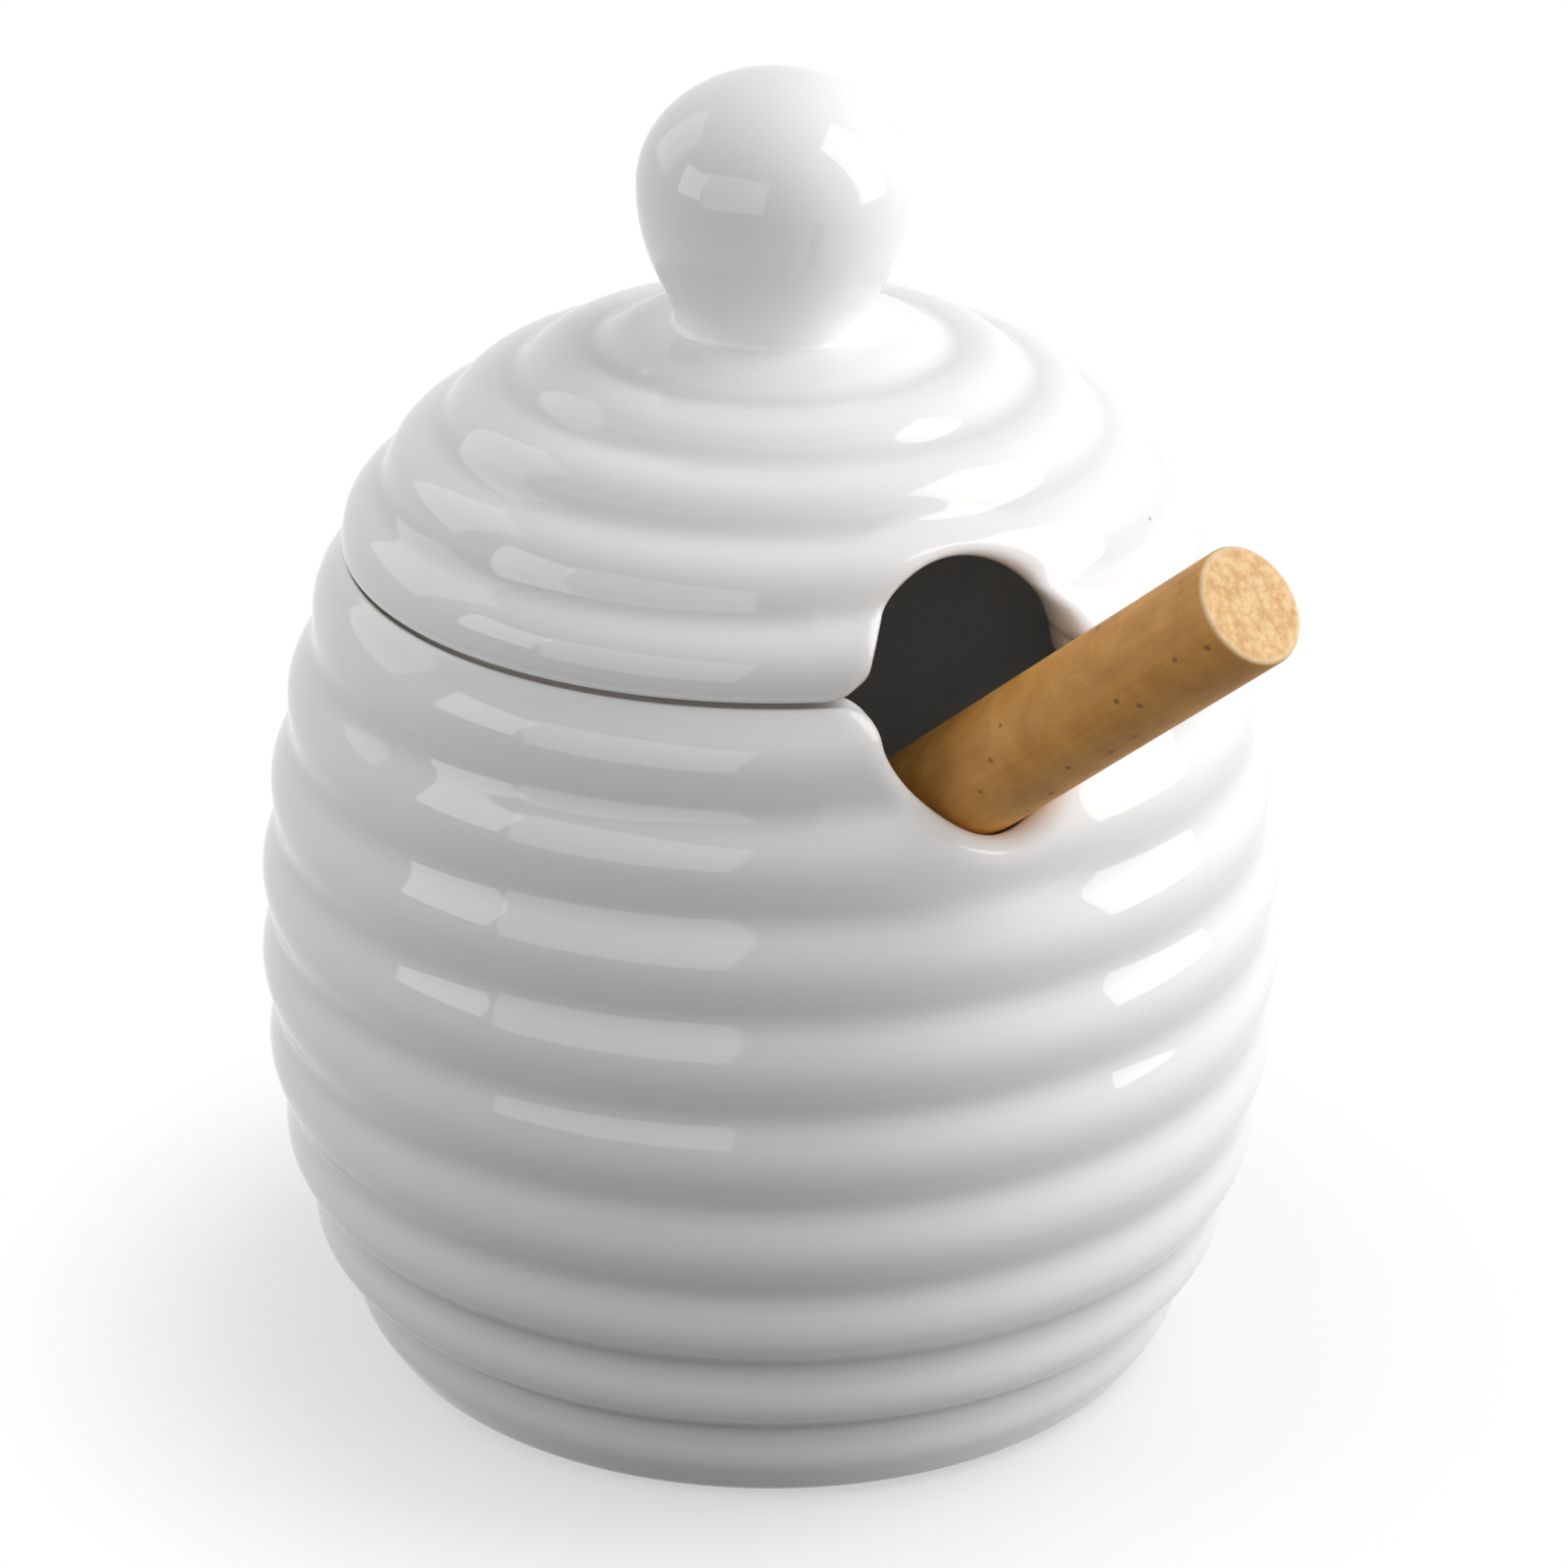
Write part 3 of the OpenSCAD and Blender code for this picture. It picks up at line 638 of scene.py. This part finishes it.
def table_top():
    """A pale table: white to the eye and in reflections, with the object's soft shadow on it, and a dull
    grey for the light that it throws back. The shadow fades out from 40 mm to 85 mm off the axis."""
    made = bpy.data.materials.new("pale_table")
    tree = node_tree(made)
    place = add(tree, "ShaderNodeTexCoord").outputs["Object"]
    away = add(tree, "ShaderNodeVectorMath", {0: place}, operation="LENGTH")
    far = add(tree, "ShaderNodeMapRange", {
        "Value": away.outputs["Value"], "From Min": 40 * MM, "From Max": 85 * MM,
        "To Min": 0.5, "To Max": 1.0}, interpolation_type="SMOOTHSTEP")
    lit = add(tree, "ShaderNodeBsdfDiffuse", {"Color": hex_rgba("#fbfbfb")})
    white = add(tree, "ShaderNodeEmission", {"Color": hex_rgba("#ffffff"), "Strength": 1.0})
    look = add(tree, "ShaderNodeMixShader", {0: far.outputs[0], 1: lit.outputs[0], 2: white.outputs[0]})
    dull = add(tree, "ShaderNodeBsdfDiffuse", {"Color": hex_rgba("#565656")})
    both = add(tree, "ShaderNodeMixShader", {0: in_sight(tree), 1: dull.outputs[0], 2: look.outputs[0]})
    add(tree, "ShaderNodeOutputMaterial", {"Surface": both.outputs[0]})
    return made


def studio():
    """The room: white to the eye and in reflections, a dim grey for the light that it gives."""
    made = bpy.data.worlds.new("studio")
    tree = node_tree(made)
    tone = add(tree, "ShaderNodeMix", {"Factor": in_sight(tree), "A": hex_rgba("#8a8a8a"),
                                       "B": hex_rgba("#ffffff")}, data_type="RGBA")
    sky = add(tree, "ShaderNodeBackground", {"Color": tone.outputs["Result"], "Strength": 1.0})
    add(tree, "ShaderNodeOutputWorld", {"Surface": sky.outputs[0]})
    return made


def from_camera(azimuth, elevation, distance):
    """A place round the aim, in metres: azimuth in degrees to the right of the camera."""
    a, e = math.radians(CAMERA_AZIMUTH) + math.radians(azimuth), math.radians(elevation)
    return Vector((distance * math.cos(e) * math.sin(a), -distance * math.cos(e) * math.cos(a),
                   AIM_Z + distance * math.sin(e)))


def softbox(name, azimuth, elevation, width, height, brightness):
    """A rectangular lamp aimed at the pot. brightness is its own radiance, where 1 is plain white."""
    lamp = bpy.data.lights.new(name, "AREA")
    lamp.shape = "RECTANGLE"
    lamp.size, lamp.size_y = width, height
    lamp.energy = brightness * math.pi * width * height
    made = bpy.data.objects.new(name, lamp)
    made.location = from_camera(azimuth, elevation, LAMP_DISTANCE)
    made.rotation_euler = (AIM - made.location).to_track_quat("-Z", "Y").to_euler()
    bpy.context.scene.collection.objects.link(made)
    return made


def camera():
    """The photograph's view, fitted to the pot's outline: distance, height, lens and a small shift."""
    eye = bpy.data.cameras.new("camera")
    eye.sensor_width, eye.sensor_fit = 36.0, "HORIZONTAL"
    eye.lens = CAMERA_LENS
    eye.shift_x, eye.shift_y = CAMERA_SHIFT
    made = bpy.data.objects.new("camera", eye)
    made.location = from_camera(0, CAMERA_ELEVATION, CAMERA_DISTANCE)
    aim = (AIM - made.location).to_track_quat("-Z", "Y").to_matrix().to_4x4()
    made.rotation_euler = (aim @ Matrix.Rotation(math.radians(CAMERA_ROLL), 4, "Z")).to_euler()
    bpy.context.scene.collection.objects.link(made)
    bpy.context.scene.camera = made


camera()

glaze = porcelain()
place = dipper_place()
handle_wood = beech("beech_handle", place, "#dfa250", "#c18539", "#e6c48f", "#d2a062")
head_wood = beech("beech_head", place, "#c68a3e", "#ac7230", "#d3a973", "#bd8850")
for piece, node, body, slot, look in (
    (pot_skin(), "pot_body", "pot", "pot_glaze", glaze),
    (lid_skin(), "lid_dome", "lid", "lid_glaze", glaze),
    (knob_skin(), "lid_knob", "lid", "lid_glaze", glaze),
    (handle_skin(place), "dipper_handle", "dipper", "handle_wood", handle_wood),
    (head_skin(place), "dipper_head", "dipper", "head_wood", head_wood),
):
    piece.data.materials.append(look)
    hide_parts(node)
    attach(piece, body)

table_mesh = bpy.data.meshes.new("table")
corners = ((-1, -1), (1, -1), (1, 1), (-1, 1))
table_mesh.from_pydata([(x * TABLE_HALF, y * TABLE_HALF, TABLE_Z) for x, y in corners], [], [(0, 1, 2, 3)])
table_mesh.materials.append(table_top())
table = bpy.data.objects.new("table", table_mesh)
bpy.context.scene.collection.objects.link(table)

# Each lamp's azimuth and elevation in degrees, width and height in metres, and brightness
softbox("right_key", 92, 26, 0.55, 1.15, 3.0)
softbox("left_window", -74, 18, 0.38, 0.4, 2.1)
softbox("back_left", -118, 30, 0.5, 0.6, 0.85)
# Four fills show in no reflection, and the far pane shows only in reflections
softbox("right_fill", 62, 8, 0.45, 0.5, 3.1).visible_glossy = False
softbox("left_fill", -80, 12, 0.5, 0.5, 1.3).visible_glossy = False
softbox("back_top", 122, 56, 0.6, 0.6, 1.8).visible_glossy = False
softbox("front_fill", 0, 24, 0.26, 0.26, 2.6).visible_glossy = False
softbox("far_pane", -33.5, 18, 0.89, 0.6, 1.35).visible_diffuse = False

bpy.context.scene.world = studio()
bpy.context.scene.view_settings.view_transform = "Standard"
